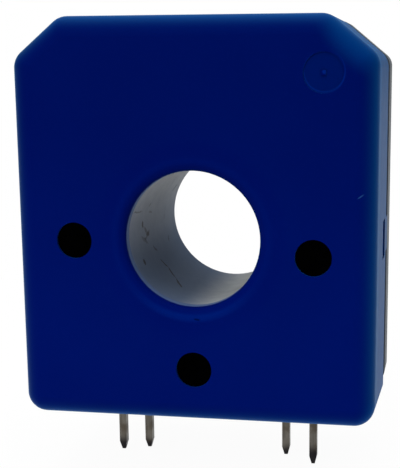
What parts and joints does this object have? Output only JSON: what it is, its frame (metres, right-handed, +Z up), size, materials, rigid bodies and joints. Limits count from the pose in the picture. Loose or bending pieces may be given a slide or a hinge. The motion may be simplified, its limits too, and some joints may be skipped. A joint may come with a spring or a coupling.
{
  "type": "current sensor",
  "caption": "Closed-loop current sensor: moulded two-part case with a round aperture for the conductor and square pins below for a circuit board.",
  "frame": {"origin": "on the circuit board that the sensor stands on, in the middle of its row of pins", "axes": "X across the case, +Y from the front face to the back along the aperture, +Z up from the board"},
  "size_m": [0.036, 0.022, 0.0476],
  "materials": {
    "blue_case": "satin moulded",
    "grey_case": "satin moulded",
    "resin": "cast, matt",
    "tin": "tinned",
    "solder": "solder",
    "board": "lacquered laminate",
    "film": "polyimide film",
    "magnetic_strip": "wound strip",
    "cup_plastic": "moulded",
    "copper_wire": "enamelled copper",
    "chip_body": "moulded",
    "capacitor_body": "moulded",
    "ceramic_body": "sintered",
    "resistor_body": "glazed"
  },
  "bodies": {
    "root": {"front_shell": "blue_case", "rear_shell": "grey_case", "potting_plug_left": "resin", "potting_plug_right": "resin", "potting_plug_lower": "resin", "pin_1": "tin", "pin_2": "tin", "pin_3": "tin", "pin_4": "tin", "pin_seal_left": "resin", "pin_seal_right": "resin", "pin_solder_1": "solder", "pin_solder_2": "solder", "pin_solder_3": "solder", "pin_solder_4": "solder", "circuit_board": "board", "insulating_disc": "film", "core_ring": "magnetic_strip", "core_cup": "cup_plastic", "core_lid": "cup_plastic", "winding_left": "copper_wire", "winding_right": "copper_wire", "winding_link": "copper_wire", "winding_lead_start": "copper_wire", "winding_lead_end": "copper_wire", "field_sensor_chip": "chip_body", "field_sensor_leads": "tin", "lead_solder": "solder", "amplifier_chip": "chip_body", "amplifier_leads": "tin", "driver_transistor_left": "chip_body", "driver_transistor_right": "chip_body", "driver_leads_left": "tin", "driver_leads_right": "tin", "supply_capacitor_left": "capacitor_body", "supply_capacitor_right": "capacitor_body", "capacitor_terminals": "tin", "clamp_diode_left": "chip_body", "clamp_diode_right": "chip_body", "diode_terminals": "tin", "ceramic_capacitors": "ceramic_body", "chip_resistors": "resistor_body"}
  },
  "joints": []
}
